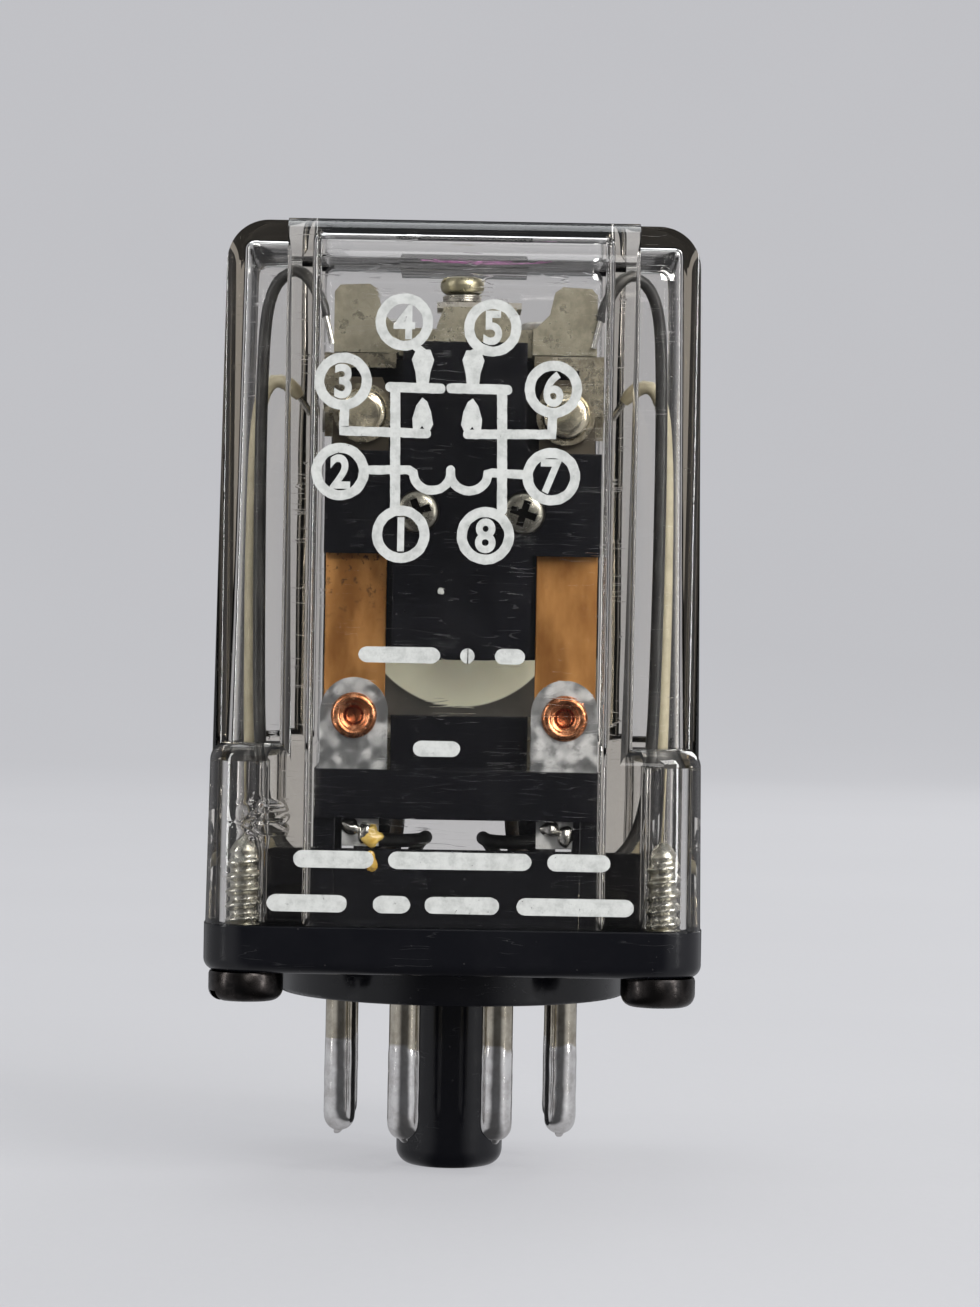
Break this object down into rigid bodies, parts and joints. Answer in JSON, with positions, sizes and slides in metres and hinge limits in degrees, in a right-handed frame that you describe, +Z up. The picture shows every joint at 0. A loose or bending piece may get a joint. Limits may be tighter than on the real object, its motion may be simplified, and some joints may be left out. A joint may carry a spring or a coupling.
{
  "type": "plug-in relay",
  "caption": "Octal plug-in changeover relay: keyed pin base, clear screwed dust cover, and a hinged armature, coil and contact sets inside.",
  "frame": {"origin": "centre of the pin circle, on the underside of the round seating disc", "axes": "+Z up out of the socket towards the top of the cover, -Y out of the printed front face, +X to the viewer's right"},
  "size_m": [0.035, 0.035, 0.0683],
  "materials": {
    "phenolic_black": "moulded black phenolic, semi-gloss, fine scratches",
    "cover_clear": "clear moulded styrene, polished, light scuffs",
    "screw_black": "black oxide, oily satin",
    "pin_nickel": "nickel plate above, bright tin dip at the end",
    "yoke_steel": "dull tarnished zinc plate",
    "core_iron": "turned soft iron",
    "screw_zinc": "dull zinc plate",
    "copper": "bright copper",
    "nylon_natural": "natural nylon, slightly translucent",
    "coil_tape": "wrapped varnished tape",
    "spring_steel": "bare spring wire",
    "tinned_brass": "spangled tin dip",
    "strip_bronze": "rolled bronze strip, dull, dark spots",
    "bracket_nickel": "tarnished nickel silver",
    "contact_silver": "polished silver contact face",
    "lead_black": "smooth black insulation",
    "lead_beige": "varnished beige braid",
    "sleeve_brown": "brown varnished sleeving"
  },
  "bodies": {
    "relay_body": {"octal_base": "phenolic_black", "cover": "cover_clear", "cover_screws": "screw_black", "terminal_header": "phenolic_black", "yoke": "yoke_steel", "yoke_screws": "screw_zinc", "core": "core_iron", "core_screw": "screw_zinc", "shading_ring": "copper", "coil_bobbin": "nylon_natural", "coil_winding": "coil_tape", "contact_block": "phenolic_black", "block_screws": "screw_zinc", "bracket_rivets": "screw_zinc", "return_spring": "spring_steel", "adjusting_screw": "screw_zinc", "pin_1": "pin_nickel", "pin_2": "pin_nickel", "pin_3": "pin_nickel", "pin_4": "pin_nickel", "pin_5": "pin_nickel", "pin_6": "pin_nickel", "pin_7": "pin_nickel", "pin_8": "pin_nickel", "common_tab_left": "tinned_brass", "common_rivet_left": "copper", "flex_strip_left": "strip_bronze", "nc_bracket_left": "bracket_nickel", "no_bracket_left": "bracket_nickel", "nc_contact_left": "contact_silver", "no_contact_left": "contact_silver", "nc_lead_left": "lead_black", "no_lead_left": "lead_beige", "coil_lead_left": "sleeve_brown", "common_lead_left": "lead_black", "common_tab_right": "tinned_brass", "common_rivet_right": "copper", "flex_strip_right": "strip_bronze", "nc_bracket_right": "bracket_nickel", "no_bracket_right": "bracket_nickel", "nc_contact_right": "contact_silver", "no_contact_right": "contact_silver", "nc_lead_right": "lead_black", "no_lead_right": "lead_beige", "coil_lead_right": "sleeve_brown", "common_lead_right": "lead_black"},
    "armature": {"armature": "yoke_steel", "spring_leaf": "spring_steel", "contact_carrier": "phenolic_black", "blade_clamp": "phenolic_black", "carrier_screws": "screw_zinc", "moving_blade_left": "strip_bronze", "moving_blade_right": "strip_bronze", "moving_contact_left": "contact_silver", "moving_contact_right": "contact_silver"}
  },
  "joints": [
    {"name": "armature_hinge", "type": "hinge", "parent": "relay_body", "child": "armature", "pos_m": [0, -0.00645, 0.04842], "axis": [1, 0, 0], "range_deg": [0, 4], "stiffness_Nm_per_rad": 0.02, "springref_deg": -5.73, "deforming": ["return_spring", "flex_strip_left", "flex_strip_right"]}
  ]
}
